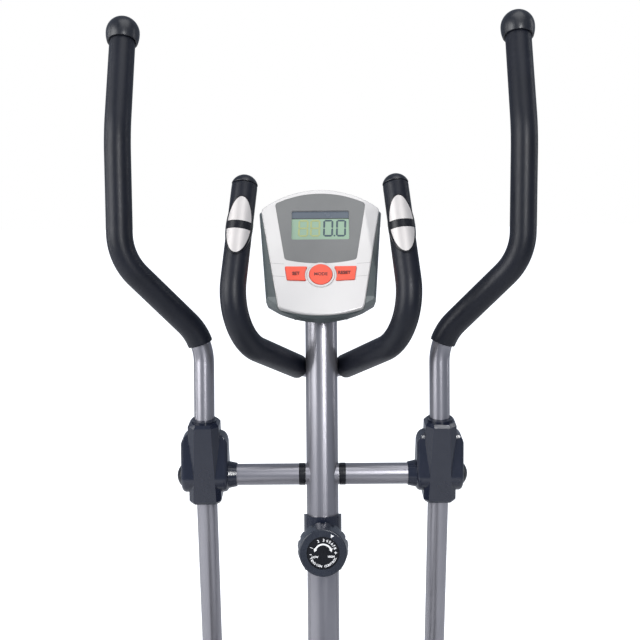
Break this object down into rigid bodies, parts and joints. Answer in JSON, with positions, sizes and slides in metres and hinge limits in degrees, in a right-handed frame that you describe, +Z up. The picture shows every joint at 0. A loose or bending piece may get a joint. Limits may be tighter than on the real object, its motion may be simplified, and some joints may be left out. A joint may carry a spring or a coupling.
{
  "type": "elliptical trainer",
  "caption": "Rear-drive elliptical trainer with swinging handlebars, fixed grips, a display console and a tension dial on the mast.",
  "frame": {"origin": "on the floor, under the middle of the machine's length and width", "axes": "+Z up, +X to the user's right, +Y the way that the user faces"},
  "size_m": [0.6604, 1.3, 1.6006],
  "materials": {
    "frame_paint": "metallic gloss",
    "foam": "matt closed-cell foam",
    "gloss_black": "gloss",
    "matte_black": "fine grain",
    "silver_plastic": "satin silver",
    "dark_plastic": "satin",
    "display_glass": "clear",
    "key_plastic": "satin",
    "steel": "zinc plated",
    "cast_wheel": "turned",
    "belt_rubber": "ribbed",
    "plated": "satin",
    "board": "solder mask"
  },
  "bodies": {
    "frame": {"main_beam": "frame_paint", "mast_socket": "frame_paint", "mast": "frame_paint", "mast_cover": "matte_black", "pivot_axle": "steel", "stabilisers": "frame_paint", "feet": "matte_black", "base_fasteners": "steel", "drive_tower": "frame_paint", "drive_fittings": "steel", "belt": "belt_rubber", "left_casing": "matte_black", "right_casing": "matte_black", "fixed_handlebar": "frame_paint", "handlebar_saddle": "frame_paint", "fixed_grips": "foam", "fixed_caps": "gloss_black", "sensor_beds": "matte_black", "sensor_plates": "plated", "console_front": "silver_plastic", "mode_ring": "silver_plastic", "console_fascia": "dark_plastic", "console_lcd": "display_glass", "console_back": "dark_plastic", "circuit_board": "board", "tension_saddle": "gloss_black", "tension_dial": "matte_black"},
    "crankset": {"crank_axle": "steel", "crank_pulley": "matte_black", "left_crank_arm": "frame_paint", "right_crank_arm": "frame_paint"},
    "flywheel": {"flywheel": "cast_wheel"},
    "idler": {"idler_pulley": "matte_black"},
    "magnet_yoke": {"magnet_bracket": "steel"},
    "left_arm": {"left_swing_arm": "frame_paint", "left_upper_handlebar": "frame_paint", "left_hand_grip": "foam", "left_ball_cap": "gloss_black", "left_pivot_cover_front": "gloss_black", "left_pivot_cover_back": "gloss_black", "left_pivot_fittings": "matte_black"},
    "right_arm": {"right_swing_arm": "frame_paint", "right_upper_handlebar": "frame_paint", "right_hand_grip": "foam", "right_ball_cap": "gloss_black", "right_pivot_cover_front": "gloss_black", "right_pivot_cover_back": "gloss_black", "right_pivot_fittings": "matte_black"},
    "left_pedal_bar": {"left_pedal_bar": "frame_paint", "left_pedal": "matte_black", "left_bar_pins": "steel"},
    "right_pedal_bar": {"right_pedal_bar": "frame_paint", "right_pedal": "matte_black", "right_bar_pins": "steel"},
    "tension_knob": {"tension_knob": "gloss_black"},
    "set_key": {"button_set": "key_plastic"},
    "mode_key": {"button_mode": "key_plastic"},
    "reset_key": {"button_reset": "key_plastic"},
    "left_wheel": {"left_transport_wheel": "matte_black"},
    "right_wheel": {"right_transport_wheel": "matte_black"}
  },
  "joints": [
    {"name": "flywheel_spin", "type": "hinge", "parent": "frame", "child": "flywheel", "pos_m": [0, -0.505, 0.262], "axis": [1, 0, 0], "continuous": true},
    {"name": "crank_spin", "type": "hinge", "parent": "frame", "child": "crankset", "pos_m": [0, -0.32, 0.31], "axis": [1, 0, 0], "continuous": true},
    {"name": "idler_spin", "type": "hinge", "parent": "frame", "child": "idler", "pos_m": [0, -0.44798, 0.19879], "axis": [1, 0, 0], "continuous": true},
    {"name": "left_arm_swing", "type": "hinge", "parent": "frame", "child": "left_arm", "pos_m": [0, 0.47553, 0.88], "axis": [1, 0, 0], "range_deg": [-12.6, 14.4]},
    {"name": "right_arm_swing", "type": "hinge", "parent": "frame", "child": "right_arm", "pos_m": [0, 0.47553, 0.88], "axis": [1, 0, 0], "range_deg": [-14.4, 12.6]},
    {"name": "left_pedal_bar_turn", "type": "hinge", "parent": "left_arm", "child": "left_pedal_bar", "pos_m": [0, 0.53091, 0.25947], "axis": [1, 0, 0], "range_deg": [-14.4, 12.6]},
    {"name": "right_pedal_bar_turn", "type": "hinge", "parent": "right_arm", "child": "right_pedal_bar", "pos_m": [0, 0.55037, 0.26151], "axis": [1, 0, 0], "range_deg": [-12.6, 14.4]},
    {"name": "tension_turn", "type": "hinge", "parent": "frame", "child": "tension_knob", "pos_m": [0, 0.40097, 0.78061], "axis": [0, -0.9903, 0.1392], "range_deg": [-42, 94]},
    {"name": "magnet_turn", "type": "hinge", "parent": "frame", "child": "magnet_yoke", "pos_m": [0, -0.441, 0.37285], "axis": [1, 0, 0], "range_deg": [-2.9, 1.3]},
    {"name": "left_wheel_spin", "type": "hinge", "parent": "frame", "child": "left_wheel", "pos_m": [-0.209, 0.625, 0.029], "axis": [1, 0, 0], "continuous": true},
    {"name": "right_wheel_spin", "type": "hinge", "parent": "frame", "child": "right_wheel", "pos_m": [0.209, 0.625, 0.029], "axis": [1, 0, 0], "continuous": true},
    {"name": "set_press", "type": "slide", "parent": "frame", "child": "set_key", "axis": [0, 0.8192, -0.5736], "range_m": [0, 0.0012], "stiffness_N_per_m": 300},
    {"name": "mode_press", "type": "slide", "parent": "frame", "child": "mode_key", "axis": [0, 0.8192, -0.5736], "range_m": [0, 0.0012], "stiffness_N_per_m": 300},
    {"name": "reset_press", "type": "slide", "parent": "frame", "child": "reset_key", "axis": [0, 0.8192, -0.5736], "range_m": [0, 0.0012], "stiffness_N_per_m": 300}
  ],
  "couplings": [
    {"joint": "crank_spin", "follows": "flywheel_spin", "ratio": 0.128},
    {"joint": "idler_spin", "follows": "flywheel_spin", "ratio": -0.8},
    {"joint": "right_arm_swing", "follows": "left_arm_swing", "ratio": -1},
    {"joint": "left_pedal_bar_turn", "follows": "left_arm_swing", "ratio": -1},
    {"joint": "right_pedal_bar_turn", "follows": "left_arm_swing", "ratio": 1},
    {"joint": "magnet_turn", "follows": "tension_turn", "ratio": -0.03}
  ]
}
